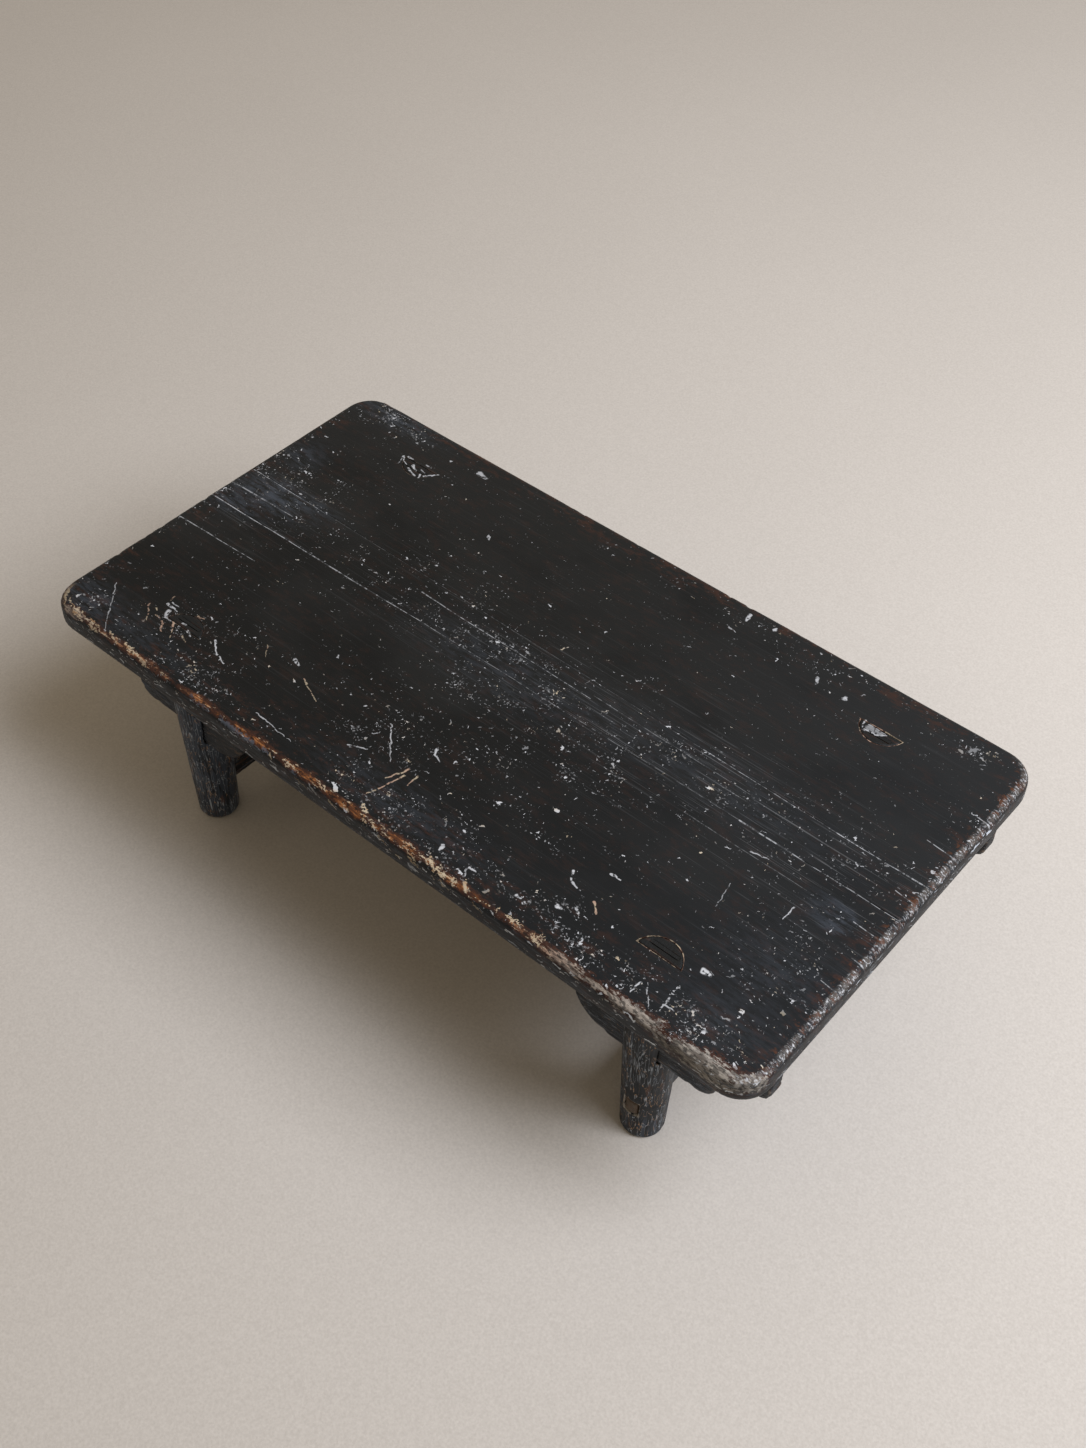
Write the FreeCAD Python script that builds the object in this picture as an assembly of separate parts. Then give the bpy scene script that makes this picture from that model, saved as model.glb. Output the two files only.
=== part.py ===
import FreeCAD, Part
import os

Vec = FreeCAD.Vector

# All sizes in millimetres. X runs along the length, Y from front to back, Z up.
# The origin is on the floor under the middle of the top.

# Top: three boards side by side
top_length = 800.0
top_width = 424.0
top_thickness = 29.0
table_height = 250.0
plan_corner_radius = 30.0
upper_edge_radius = 7.0
lower_edge_radius = 9.0

# Seams between the boards: place across the width, at the left and the right end
front_seam_left = -11.0
front_seam_right = -6.0
back_seam_left = 43.0
back_seam_right = 35.5

# Square pins across the seams
pin_size = 7.0
pin_length = 40.0
pin_spacing = 300.0
pin_below_surface = 11.5
pin_play = 0.1

# Legs: round, thinner at the foot
leg_from_end = 127.0
leg_from_side = 59.0
leg_top_diameter = 54.0
leg_foot_diameter = 41.0
foot_rounding = 4.0

# Slot at the head of each leg, measured outwards from the leg axis
slot_inner_offset = 6.0
slot_width = 9.0

# Rounded tenon from the leg through the top: its flat side and the middle of its curve lie
# outwards from the leg axis
tenon_radius = 21.5
tenon_flat_offset = 4.0
tenon_curve_offset = 8.5
curved_gap = 0.3

# Wedge in each leg tenon
wedge_width = 28.0
wedge_length = 22.0
wedge_head = 3.2
wedge_tip = 1.2
wedge_from_flat = 7.5

# Aprons: a board with a pair of lobes at each leg, the inner one deeper and rounder
apron_thickness = 18.0
apron_depth = 45.0
apron_end_inset = 6.0
apron_end_radius = 12.0
inner_lobe_depth = 106.0
inner_lobe_radius = 40.0
outer_lobe_depth = 95.0
outer_lobe_radius = 20.0
lobe_half_length = 74.0
lobe_root_radius = 12.0
housing_side_gap = 0.5

# Stretchers between the front and back leg at each end
stretcher_width = 20.0
stretcher_height = 28.0
stretcher_low = 33.0
stretcher_seat = 3.0
stretcher_play = 0.15
stretcher_tenon_width = 14.0
stretcher_tenon_height = 20.0
stub_tenon_length = 22.0
flush_gap = 0.3

# Battens dovetailed into the underside of the top
batten_station = 140.0
batten_width = 40.0
batten_depth = 14.0
dovetail_neck = 28.0
dovetail_head = 34.0
dovetail_depth = 8.0
batten_end_gap = 1.0
groove_play = 0.1

# Places that follow from the sizes
underside = table_height - top_thickness
half_length = top_length / 2
half_width = top_width / 2
leg_x = half_length - leg_from_end
leg_y = half_width - leg_from_side
leg_top_radius = leg_top_diameter / 2
leg_foot_radius = leg_foot_diameter / 2
slot_inner_y = leg_y + slot_inner_offset
tenon_flat_y = leg_y + tenon_flat_offset
tenon_curve_y = leg_y + tenon_curve_offset
apron_outer_y = slot_inner_y + slot_width
apron_inner_y = apron_outer_y - apron_thickness
apron_low = underside - apron_depth
inner_lobe_low = underside - inner_lobe_depth
outer_lobe_low = underside - outer_lobe_depth
stretcher_middle = stretcher_low + stretcher_height / 2


def leg_radius_at(height):
    share = height / underside
    return leg_foot_radius + share * (leg_top_radius - leg_foot_radius)


seat_radius = leg_radius_at(stretcher_low)
seat_half_width = stretcher_width / 2 + stretcher_play
seat_chord = (seat_radius ** 2 - seat_half_width ** 2) ** 0.5
seat_y = leg_y - min(seat_chord, seat_radius - stretcher_seat)


def block(x_range, y_range, z_range):
    """Box between two limits in each direction, given in either order."""
    low = Vec(min(x_range), min(y_range), min(z_range))
    high = Vec(max(x_range), max(y_range), max(z_range))
    size = high - low
    return Part.makeBox(size.x, size.y, size.z, low)


def centred(middle, size):
    return (middle - size / 2, middle + size / 2)


def prism(points, direction):
    """Solid made by sweeping a flat outline along a straight direction."""
    outline = Part.makePolygon(points + [points[0]])
    return Part.Face(outline).extrude(direction)


def one_solid(shape):
    clean = shape.removeSplitter()
    return clean.Solids[0] if len(clean.Solids) == 1 else clean


def cross_edges(shape, places):
    """Edges that run along Y and pass through the given (x, z) places."""
    found = []
    for edge in shape.Edges:
        ends = [vertex.Point for vertex in edge.Vertexes]
        if len(ends) != 2 or abs(ends[0].y - ends[1].y) < 1.0:
            continue
        for x, z in places:
            if abs(ends[0].x - x) < 0.01 and abs(ends[0].z - z) < 0.01:
                found.append(edge)
    return found


def outline_edges(shape, height):
    """Edges that lie wholly at one height."""
    return [edge for edge in shape.Edges
            if all(abs(vertex.Z - height) < 0.01 for vertex in edge.Vertexes)]


def half_round(side_x, side_y, radius, low, high):
    """Nearly half of a cylinder, on the inner side of the flat of one leg's tenon."""
    flat = side_y * tenon_flat_y
    middle = Vec(side_x * leg_x, side_y * tenon_curve_y, low)
    whole = Part.makeCylinder(radius, high - low, middle)
    keep = block(centred(middle.x, 4 * radius), (flat, flat - side_y * 2 * radius), (low, high))
    return whole.common(keep)


def tenon_wedge(side_x, side_y):
    middle = side_y * (tenon_flat_y - wedge_from_flat)
    start = side_x * leg_x - wedge_width / 2
    tip = table_height - wedge_length
    outline = [
        Vec(start, middle - wedge_head / 2, table_height),
        Vec(start, middle + wedge_head / 2, table_height),
        Vec(start, middle + wedge_tip / 2, tip),
        Vec(start, middle - wedge_tip / 2, tip),
    ]
    return prism(outline, Vec(wedge_width, 0, 0))


def leg_cone(side_x, side_y, shrink):
    foot = Vec(side_x * leg_x, side_y * leg_y, 0)
    return Part.makeCone(leg_foot_radius - shrink, leg_top_radius - shrink, underside, foot)


def lobe_zone(side_x, reach, y_range, high):
    """Space on both sides of a leg axis, from the inner and the outer lobe's lower edge up."""
    axis = side_x * leg_x
    inner = block((axis, axis - side_x * reach), y_range, (inner_lobe_low, high))
    outer = block((axis, axis + side_x * reach), y_range, (outer_lobe_low, high))
    return inner.fuse(outer)


def stretcher_tenon_end(through):
    return leg_y + leg_top_radius if through else seat_y + stub_tenon_length


def leg(side_x, side_y, through):
    """One leg with its slot, its head tenon and the mortise for the stretcher."""
    body = leg_cone(side_x, side_y, 0)
    body = body.makeFillet(foot_rounding, outline_edges(body, 0))
    head = half_round(side_x, side_y, tenon_radius, underside, table_height)
    body = one_solid(body.fuse(head))
    slot_range = (side_y * slot_inner_y, side_y * apron_outer_y)
    slot = lobe_zone(side_x, leg_top_diameter, slot_range, table_height)
    seat = block(
        centred(side_x * leg_x, stretcher_width + 2 * stretcher_play),
        (0, side_y * seat_y),
        centred(stretcher_middle, stretcher_height + 2 * stretcher_play),
    )
    mortise = block(
        centred(side_x * leg_x, stretcher_tenon_width),
        (side_y * seat_y, side_y * stretcher_tenon_end(through)),
        centred(stretcher_middle, stretcher_tenon_height),
    )
    for space in (slot, seat, mortise, tenon_wedge(side_x, side_y)):
        body = body.cut(space)
    return one_solid(body)


def apron(side_y):
    """Long board with two pairs of lobes and a housing behind each leg crossing."""
    thick = (side_y * apron_inner_y, side_y * apron_outer_y)
    end = half_length - apron_end_inset
    board = block((-end, end), thick, (apron_low, underside))
    for side_x in (-1, 1):
        board = board.fuse(lobe_zone(side_x, lobe_half_length, thick, apron_low))
    board = one_solid(board)
    inner_ends = [sx * (leg_x - lobe_half_length) for sx in (-1, 1)]
    outer_ends = [sx * (leg_x + lobe_half_length) for sx in (-1, 1)]
    inner_tips = cross_edges(board, [(x, inner_lobe_low) for x in inner_ends])
    board = board.makeFillet(inner_lobe_radius, inner_tips)
    outer_tips = cross_edges(board, [(x, outer_lobe_low) for x in outer_ends])
    board = board.makeFillet(outer_lobe_radius, outer_tips)
    roots = cross_edges(board, [(x, apron_low) for x in inner_ends + outer_ends])
    board = board.makeFillet(lobe_root_radius, roots)
    board = board.makeFillet(apron_end_radius, cross_edges(board, [(-end, apron_low), (end, apron_low)]))
    for side_x in (-1, 1):
        housing = block(
            centred(side_x * leg_x, leg_top_diameter + 2 * housing_side_gap),
            (side_y * apron_inner_y, side_y * slot_inner_y),
            (inner_lobe_low, underside),
        )
        board = board.cut(housing)
    return one_solid(board)


def stretcher(side_x, through):
    """Bar along Y with a tenon at each end."""
    middle = side_x * leg_x
    bar = block(
        centred(middle, stretcher_width),
        (-seat_y, seat_y),
        centred(stretcher_middle, stretcher_height),
    )
    for side_y in (-1, 1):
        tenon = block(
            centred(middle, stretcher_tenon_width),
            (side_y * seat_y, side_y * stretcher_tenon_end(through)),
            centred(stretcher_middle, stretcher_tenon_height),
        )
        if through:
            tenon = tenon.common(leg_cone(side_x, side_y, flush_gap))
        bar = bar.fuse(tenon)
    return one_solid(bar)


def dovetail(side_x, play):
    """Tapered rib on the batten; with play it is the groove in the top."""
    middle = side_x * batten_station
    end = apron_inner_y - batten_end_gap
    neck = dovetail_neck / 2 + play
    head = dovetail_head / 2 + play
    outline = [
        Vec(middle - neck, -end, underside),
        Vec(middle + neck, -end, underside),
        Vec(middle + head, -end, underside + dovetail_depth + play),
        Vec(middle - head, -end, underside + dovetail_depth + play),
    ]
    return prism(outline, Vec(0, 2 * end, 0))


def batten(side_x):
    end = apron_inner_y - batten_end_gap
    bar = block(
        centred(side_x * batten_station, batten_width),
        (-end, end),
        (underside - batten_depth, underside),
    )
    return one_solid(bar.fuse(dovetail(side_x, 0)))


def seam_y(seam_left, seam_right, x):
    return seam_left + (seam_right - seam_left) * (x + half_length) / top_length


def seam_pin(seam_left, seam_right, x, play):
    """Square pin across a seam; with play it is the hole for it."""
    return block(
        centred(x, pin_size + 2 * play),
        centred(seam_y(seam_left, seam_right, x), pin_length),
        centred(table_height - pin_below_surface, pin_size + 2 * play),
    )


def board_zone(front_ends, back_ends):
    """Upright zone between two lines across the plan, each given at both ends."""
    front_left, front_right = front_ends
    back_left, back_right = back_ends
    outline = [
        Vec(-half_length, front_left, underside),
        Vec(half_length, front_right, underside),
        Vec(half_length, back_right, underside),
        Vec(-half_length, back_left, underside),
    ]
    return prism(outline, Vec(0, 0, top_thickness))


def slab():
    """The whole top with rounded corners and edges, before it is cut into boards."""
    plate = block((-half_length, half_length), (-half_width, half_width), (underside, table_height))
    uprights = [edge for edge in plate.Edges
                if abs(edge.Vertexes[0].Z - edge.Vertexes[1].Z) > 1.0]
    plate = plate.makeFillet(plan_corner_radius, uprights)
    plate = plate.makeFillet(upper_edge_radius, outline_edges(plate, table_height))
    return plate.makeFillet(lower_edge_radius, outline_edges(plate, underside))


corners = [(sx, sy) for sx in (-1, 1) for sy in (-1, 1)]
side_names = {-1: "left", 1: "right"}
depth_names = {-1: "front", 1: "back"}
front_seam = (front_seam_left, front_seam_right)
back_seam = (back_seam_left, back_seam_right)
pin_stations = (-pin_spacing, 0.0, pin_spacing)
pin_places = [(seam, x) for seam in (front_seam, back_seam) for x in pin_stations]

spaces = [half_round(sx, sy, tenon_radius + curved_gap, underside, table_height) for sx, sy in corners]
spaces += [dovetail(sx, groove_play) for sx in (-1, 1)]
spaces += [seam_pin(seam[0], seam[1], x, pin_play) for seam, x in pin_places]

whole_top = slab()
for space in spaces:
    whole_top = whole_top.cut(space)

front_edge = (-half_width, -half_width)
back_edge = (half_width, half_width)

nodes = {
    "top_front_plank": one_solid(whole_top.common(board_zone(front_edge, front_seam))),
    "top_middle_strip": one_solid(whole_top.common(board_zone(front_seam, back_seam))),
    "top_back_plank": one_solid(whole_top.common(board_zone(back_seam, back_edge))),
    "seam_pins": Part.makeCompound([seam_pin(seam[0], seam[1], x, 0) for seam, x in pin_places]),
    "tenon_wedges": Part.makeCompound([tenon_wedge(sx, sy) for sx, sy in corners]),
    "apron_front": apron(-1),
    "apron_back": apron(1),
}
for side in (-1, 1):
    through = side == 1
    nodes["batten_" + side_names[side]] = batten(side)
    nodes["stretcher_" + side_names[side]] = stretcher(side, through)
    for depth in (-1, 1):
        name = "leg_" + depth_names[depth] + "_" + side_names[side]
        nodes[name] = leg(side, depth, through)

os.makedirs("parts", exist_ok=True)
for name, shape in nodes.items():
    shape.exportStep("parts/" + name + ".step")
    print(name, len(shape.Solids), shape.isValid(), round(shape.Volume / 1000.0, 1))
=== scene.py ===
import math

import bpy
import numpy as np
from mathutils import Matrix, Vector, noise


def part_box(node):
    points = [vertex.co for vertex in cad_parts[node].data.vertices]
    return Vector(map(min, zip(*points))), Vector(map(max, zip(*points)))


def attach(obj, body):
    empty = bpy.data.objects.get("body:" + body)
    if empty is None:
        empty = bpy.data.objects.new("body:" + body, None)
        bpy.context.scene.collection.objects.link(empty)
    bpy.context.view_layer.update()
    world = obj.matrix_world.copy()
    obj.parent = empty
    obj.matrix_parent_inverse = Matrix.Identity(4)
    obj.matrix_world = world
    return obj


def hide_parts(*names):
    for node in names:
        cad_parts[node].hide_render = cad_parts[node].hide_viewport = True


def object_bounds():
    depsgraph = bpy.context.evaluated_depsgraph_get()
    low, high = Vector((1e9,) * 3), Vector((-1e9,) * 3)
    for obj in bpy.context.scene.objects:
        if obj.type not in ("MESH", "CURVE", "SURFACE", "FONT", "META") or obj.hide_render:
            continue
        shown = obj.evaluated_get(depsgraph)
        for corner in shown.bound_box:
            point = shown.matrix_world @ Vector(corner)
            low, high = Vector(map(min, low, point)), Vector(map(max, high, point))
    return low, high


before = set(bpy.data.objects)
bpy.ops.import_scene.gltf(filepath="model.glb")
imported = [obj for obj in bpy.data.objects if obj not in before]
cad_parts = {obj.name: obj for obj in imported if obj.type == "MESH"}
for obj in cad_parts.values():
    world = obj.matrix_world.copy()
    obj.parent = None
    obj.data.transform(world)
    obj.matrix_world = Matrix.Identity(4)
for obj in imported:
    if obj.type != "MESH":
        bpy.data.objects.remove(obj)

cad_low, cad_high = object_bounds()

# Lengths are in metres. Lists of marks and spots are written in millimetres.
MM = 0.001

# The top, from the frame
half_length = cad_high.x
half_width = cad_high.y
top_z = cad_high.z
under_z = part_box("top_front_plank")[0].z

# The top's edges and the seams between its boards, each seam at the left and the right end
corner_radius = 30 * MM
upper_radius = 7 * MM
lower_radius = 9 * MM
front_edge = (-half_width, -half_width)
front_seam = (-11 * MM, -6 * MM)
back_seam = (43 * MM, 35.5 * MM)
back_edge = (half_width, half_width)

# Legs: axis places, the rounded tenon that shows on the top, with its flat and the curve's middle, its
# gap, and how far the mortise cutter reaches past the boards
leg_x = 273 * MM
leg_y = 153 * MM
tenon_flat = 157 * MM
tenon_middle = 161.5 * MM
tenon_radius = 21.5 * MM
mortise_gap = 0.3 * MM
cutter_over = 5 * MM

# The stretchers' middle height, and half the width and height of their tenons
bar_z = 47 * MM
end_half = (7 * MM, 10 * MM)

# How fine the meshes are
column_step = 2.2 * MM
row_step = 2.8 * MM
edge_steps = np.array([0, 0.3, 1.0, 2.1, 3.5, 5.2, 7.2, 9.6, 12.5, 16, 20, 25, 30]) * MM
seam_steps = np.array([0, 0.7, 1.6]) * MM
wall_rows = 5
frame_voxel = 1.7 * MM
leg_voxel = 1.3 * MM
arc_points = 25

# Wear on the boards: its band over the edge, depth of rubbed, bare and nicked edges, sag and open seams
wear_middle = 5 * MM
wear_reach = 13 * MM
rub_depth = 0.6 * MM
bare_depth = 1.2 * MM
nick_depth = 1.0 * MM
least_sag = 0.12 * MM
more_sag = 0.25 * MM
seam_depth = 0.7 * MM

# Depth of the wear on the frame, how fine it is along the grain next to across it, and the height above
# which the leg tenons keep their edges
ridge_depth = 0.25 * MM
lump_depth = 0.5 * MM
crack_depth = 0.55 * MM
chip_depth = 1.0 * MM
grain_share = 0.12
crisp_height = 0.236

# Rubbing along the upper edge at the front: place, amount, how grey the bare wood is, how much cream
front_rub = np.array([
    (-400, 0.34, 0.8, 0.2), (-355, 0.26, 0.6, 0.4), (-325, 0.10, 0.2, 0.5), (-285, 0.26, 0.1, 0.7),
    (-240, 0.22, 0.1, 0.3), (-170, 0.18, 0.0, 0.1), (-110, 0.24, 0.0, 0.4), (-40, 0.32, 0.0, 0.7),
    (20, 0.32, 0.0, 0.6), (60, 0.34, 0.0, 0.9), (100, 0.30, 0.0, 0.8), (130, 0.28, 0.0, 0.6),
    (155, 0.18, 0.0, 0.6), (190, 0.18, 0.2, 0.7), (215, 0.34, 0.6, 0.5), (240, 0.40, 0.8, 0.4),
    (330, 0.46, 1.0, 0.2), (400, 0.54, 1.0, 0.2),
])
other_rub = -0.16

# Where the top has many specks, brushed lines, and haze with some painted sheen: x, y, reach along x and y,
# strength
busy_spots = [
    (-20, 0, 80, 32, 0.75), (70, -62, 40, 26, 0.6), (-170, 18, 100, 26, 0.35), (-310, 20, 60, 26, 0.45),
    (170, 15, 110, 30, 0.38), (330, 10, 60, 40, 0.35), (50, -188, 70, 22, 1.6), (225, -190, 60, 18, 0.9),
    (378, -160, 20, 45, 0.3), (350, -95, 50, 45, 0.4), (-260, -155, 70, 40, 0.35), (60, -110, 110, 40, 0.3),
    (-375, -190, 40, 25, 0.4), (-345, 192, 50, 18, 1.1), (160, 190, 150, 16, 0.3), (388, 100, 14, 110, 0.2),
    (-392, 20, 10, 170, 0.4), (-230, -190, 90, 18, 0.8), (-100, 55, 200, 22, 0.1), (350, 188, 40, 16, 0.55),
    (-350, 62, 45, 22, 0.9), (110, -36, 70, 18, 0.5), (193, -167, 13, 9, 1.3), (-262, -150, 22, 12, 0.7),
    (330, -188, 60, 20, 0.85), (-40, -42, 30, 20, 0.5), (-40, -135, 50, 30, 0.45),
]
line_spots = [
    (190, 12, 150, 42, 1.0), (-20, 5, 130, 40, 0.4), (-345, 15, 60, 40, 0.7), (330, -30, 80, 50, 0.7),
]
haze_and_sheen_spots = [
    (-372, 90, 22, 20, 0.7), (-352, 22, 48, 17, 1.1), (-330, 42, 44, 9, 0.9), (-372, -8, 34, 12, 0.9),
    # The two spots at the front right, at x 350 and 345, are partly haze and partly a painted sheen: a
    # bluish cast where the lamp's light reflects.
    (350, -110, 50, 40, 0.35), (345, -175, 50, 22, 0.35), (-375, -190, 40, 22, 0.7),
    (-290, -190, 70, 16, 0.4), (20, -180, 90, 20, 0.45), (-20, -5, 90, 30, 0.4), (190, 15, 120, 30, 0.3),
    (-345, 195, 50, 14, 0.8),
]
blot_middle = (344, -37)
blot_reach = (27, 16)

# Specks from fine to coarse: cell size, share of the cells, least and further length, how slim, seed
speck_sizes = [
    ((3.3, 3.1), 0.31, 0.24, 0.36, (1.2, 3.4), 1.0),
    ((7.6, 6.8), 0.50, 0.14, 0.54, (1.8, 6.0), 2.0),
    ((19, 17), 0.36, 0.13, 0.46, (3.0, 8.0), 3.0),
]

# Camera, from the outline of the table in the photograph
picture_height = 1448
focal_pixels = 1704.5
long_side = 36.0
camera_azimuth = 39.374
camera_elevation = 47.030
camera_roll = 1.538
camera_target = Vector((48.7, -31.5, 250)) * MM
camera_distance = 1472.2 * MM

# Lamp and room light, from the light and shade on the photograph's floor
lamp_place = Vector((1.92, 0.56, 2.63))
lamp_aim = Vector((-0.96, 2.77, 0.0))
lamp_size = 2.0
lamp_energy = 134
lamp_colour = (0.88, 0.915, 1.0)
room_colour = (1.0, 0.85, 0.65)
room_strength = 0.27

# Half the floor's side, and the middle and the distances at which it fades into the wall colour
floor_half = 40.0
fade_middle = (-0.2, 0.7, 0.0)
wall_fade = (1.5, 3.2)

# The rays that see the wall colour instead of the room's light
background_rays = ("Is Camera Ray", "Is Glossy Ray", "Is Transmission Ray")


def srgb(red, green, blue):
    """Linear colour from the usual 0 to 255 values."""
    shares = [value / 255 for value in (red, green, blue)]
    return tuple(s / 12.92 if s <= 0.04045 else ((s + 0.055) / 1.055) ** 2.4 for s in shares)


def smooth(values, start, end):
    """0 at start, 1 at end, with a soft step between."""
    share = np.clip((values - start) / (end - start), 0, 1)
    return share * share * (3 - 2 * share)


def field(points, size, seed=0.0):
    """Smooth noise from -1 to 1 at each point, with lumps of about the given size."""
    return np.array([noise.noise(point) for point in points / size + seed])


# Meshes


def vertex_vectors(mesh, kind):
    vectors = np.empty(len(mesh.vertices) * 3)
    mesh.vertices.foreach_get(kind, vectors)
    return vectors.reshape(-1, 3)


def points_of(mesh):
    return vertex_vectors(mesh, "co")


def normals_of(mesh):
    return vertex_vectors(mesh, "normal")


def set_points(mesh, places):
    mesh.vertices.foreach_set("co", places.ravel())
    mesh.update()


def set_attribute(mesh, name, values):
    layer = mesh.attributes.new(name, "FLOAT", "POINT")
    layer.data.foreach_set("value", values.astype(np.float32))


def linked(name, mesh):
    made = bpy.data.objects.new(name, mesh)
    bpy.context.scene.collection.objects.link(made)
    return made


def evaluated_mesh(worker):
    """The mesh of an object with its modifiers applied; the object itself is removed."""
    graph = bpy.context.evaluated_depsgraph_get()
    made = bpy.data.meshes.new_from_object(worker.evaluated_get(graph))
    bpy.data.objects.remove(worker)
    return made


def dense_copy(node, voxel):
    """A CAD node's shape in small even faces, so that wear can be worked into it."""
    worker = linked("worker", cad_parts[node].data.copy())
    remesh = worker.modifiers.new("Remesh", "REMESH")
    remesh.mode = "VOXEL"
    remesh.voxel_size = voxel
    return evaluated_mesh(worker)


def neighbour_means(mesh, values):
    """For each vertex, the mean of a value over the vertices next to it."""
    ends = np.empty(len(mesh.edges) * 2, dtype=np.int64)
    mesh.edges.foreach_get("vertices", ends)
    ends = ends.reshape(-1, 2)
    total = np.zeros_like(values)
    count = np.zeros(len(values))
    for one, other in ((0, 1), (1, 0)):
        np.add.at(total, ends[:, one], values[ends[:, other]])
        np.add.at(count, ends[:, one], 1)
    return (total.T / count).T


def soften(mesh, rounds, share):
    """Rounds the arrises a little. share says how much each vertex may follow its neighbours."""
    places = points_of(mesh)
    for _ in range(rounds):
        places += (neighbour_means(mesh, places) - places) * share[:, None]
    set_points(mesh, places)


def arris_share(mesh, voxel):
    """1 on convex edges, 0 on flat faces and in hollows."""
    places = points_of(mesh)
    bulge = np.einsum("ij,ij->i", places - neighbour_means(mesh, places), normals_of(mesh))
    for _ in range(3):
        bulge = neighbour_means(mesh, bulge)
    return smooth(bulge / voxel, 0.015, 0.10)


def over_edge(places):
    """Distance over the upper edge of the top: 0 where the edge starts to round, negative further in."""
    beside = np.abs(places[:, :2]) - (np.array([half_length, half_width]) - corner_radius)
    outside = np.linalg.norm(np.maximum(beside, 0), axis=1)
    inset = corner_radius - outside - np.minimum(beside.max(axis=1), 0)
    drop = top_z - places[:, 2]
    turned = np.arctan2(np.maximum(upper_radius - inset, 0), np.maximum(upper_radius - drop, 1e-9))
    rounded = upper_radius * turned + np.maximum(drop - upper_radius, 0)
    return np.where((inset > upper_radius) & (drop < upper_radius), upper_radius - inset, rounded)


# The boards of the top


def steps_across(width, first, last, step):
    """Places from 0 to width: fine steps at both ends and even ones between."""
    inner = width - first[-1] - last[-1]
    count = max(2, round(inner / step))
    middle = first[-1] + inner * np.arange(1, count) / count
    return np.concatenate([first, middle, width - last[::-1]])


def edge_profile(inset, radius):
    """How far a rounded edge lies from the flat face at a given distance in from the outline."""
    short = np.maximum(radius - inset, 0)
    return radius - np.sqrt(np.maximum(radius ** 2 - short ** 2, 0))


def board_grid(front, back):
    """Plan places of a board's grid, bent round the plan corners, and their distance from the outline."""
    columns = steps_across(2 * half_length, edge_steps, edge_steps, column_step) - half_length
    ends = [edge_steps if abs(line[0]) == half_width else seam_steps for line in (front, back)]
    width = (sum(back) - sum(front)) / 2
    across = steps_across(width, *ends, row_step) / width
    share = (columns / half_length + 1) / 2
    front_y = front[0] + (front[1] - front[0]) * share
    back_y = back[0] + (back[1] - back[0]) * share
    y = front_y[:, None] + (back_y - front_y)[:, None] * across[None, :]
    x = np.repeat(columns[:, None], len(across), axis=1)
    beside_x = np.maximum(np.abs(x) - half_length + corner_radius, 0)
    beside_y = np.maximum(np.abs(y) - half_width + corner_radius, 0)
    bend = np.maximum(beside_x, beside_y) / np.maximum(np.hypot(beside_x, beside_y), 1e-9)
    in_corner = (beside_x > 0) & (beside_y > 0)
    x = np.where(in_corner, np.sign(x) * (half_length - corner_radius + beside_x * bend), x)
    y = np.where(in_corner, np.sign(y) * (half_width - corner_radius + beside_y * bend), y)
    inset = corner_radius - np.maximum(beside_x, beside_y)
    return x, y, inset


def border(columns, rows):
    """Grid numbers once round the rim of a grid."""
    ring = [(i, 0) for i in range(columns)]
    ring += [(columns - 1, j) for j in range(1, rows)]
    ring += [(i, rows - 1) for i in range(columns - 2, -1, -1)]
    ring += [(0, j) for j in range(rows - 2, 0, -1)]
    return np.array([i * rows + j for i, j in ring])


def board_mesh(name, front, back):
    """Closed mesh of one board: an upper and a lower sheet joined by a wall round the rim."""
    x, y, inset = board_grid(front, back)
    columns, rows = x.shape
    upper = np.stack([x, y, top_z - edge_profile(inset, upper_radius)], axis=-1).reshape(-1, 3)
    lower = np.stack([x, y, under_z + edge_profile(inset, lower_radius)], axis=-1).reshape(-1, 3)
    rim = border(columns, rows)
    shares = np.arange(1, wall_rows + 1) / (wall_rows + 1)
    walls = [upper[rim] + (lower[rim] - upper[rim]) * share for share in shares]
    sheet = columns * rows
    corner = (np.arange(columns - 1)[:, None] * rows + np.arange(rows - 1)).ravel()
    quads = np.stack([corner, corner + rows, corner + rows + 1, corner + 1], axis=1)
    levels = [rim]
    levels += [2 * sheet + k * len(rim) + np.arange(len(rim)) for k in range(wall_rows)]
    levels.append(rim + sheet)
    faces = [quads, quads[:, ::-1] + sheet]
    for high, low in zip(levels, levels[1:]):
        faces.append(np.stack([high, low, np.roll(low, -1), np.roll(high, -1)], axis=1))
    mesh = bpy.data.meshes.new(name)
    mesh.from_pydata(np.concatenate([upper, lower] + walls).tolist(), [], np.concatenate(faces).tolist())
    return mesh


def edge_rub(places):
    """How far the upper edge is rubbed, above 0.5 where the wood is bare, how grey that wood is and how
    much cream ground lies round it."""
    over = over_edge(places)
    x, y = places[:, 0], places[:, 1]
    at_front = smooth(-y, half_width - 40 * MM, half_width - 16 * MM)
    along = np.interp(x / MM, front_rub[:, 0], front_rub[:, 1])
    grey = np.interp(x / MM, front_rub[:, 0], front_rub[:, 2])
    cream = np.interp(x / MM, front_rub[:, 0], front_rub[:, 3])
    amount = other_rub + (along - other_rub) * at_front
    stretched = places * np.array([0.45, 1, 1])
    ragged = 0.34 * field(places, 45 * MM, 2.3) + 0.30 * field(stretched, 12 * MM, 6.1)
    ragged += 0.26 * field(stretched, 4.5 * MM, 9.4)
    corner = smooth(x, 0.25, 0.36) * at_front
    away = over - (2.6 + 3.4 * grey + 4 * corner) * MM
    core = np.exp(-(away / ((4.4 + 4.8 * grey + 7 * corner) * MM)) ** 2)
    skirt = (away / ((12 + 10 * corner) * MM)) ** 2
    return amount + ragged + 0.45 * core - 0.10 - 0.5 * skirt, grey, cream


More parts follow.
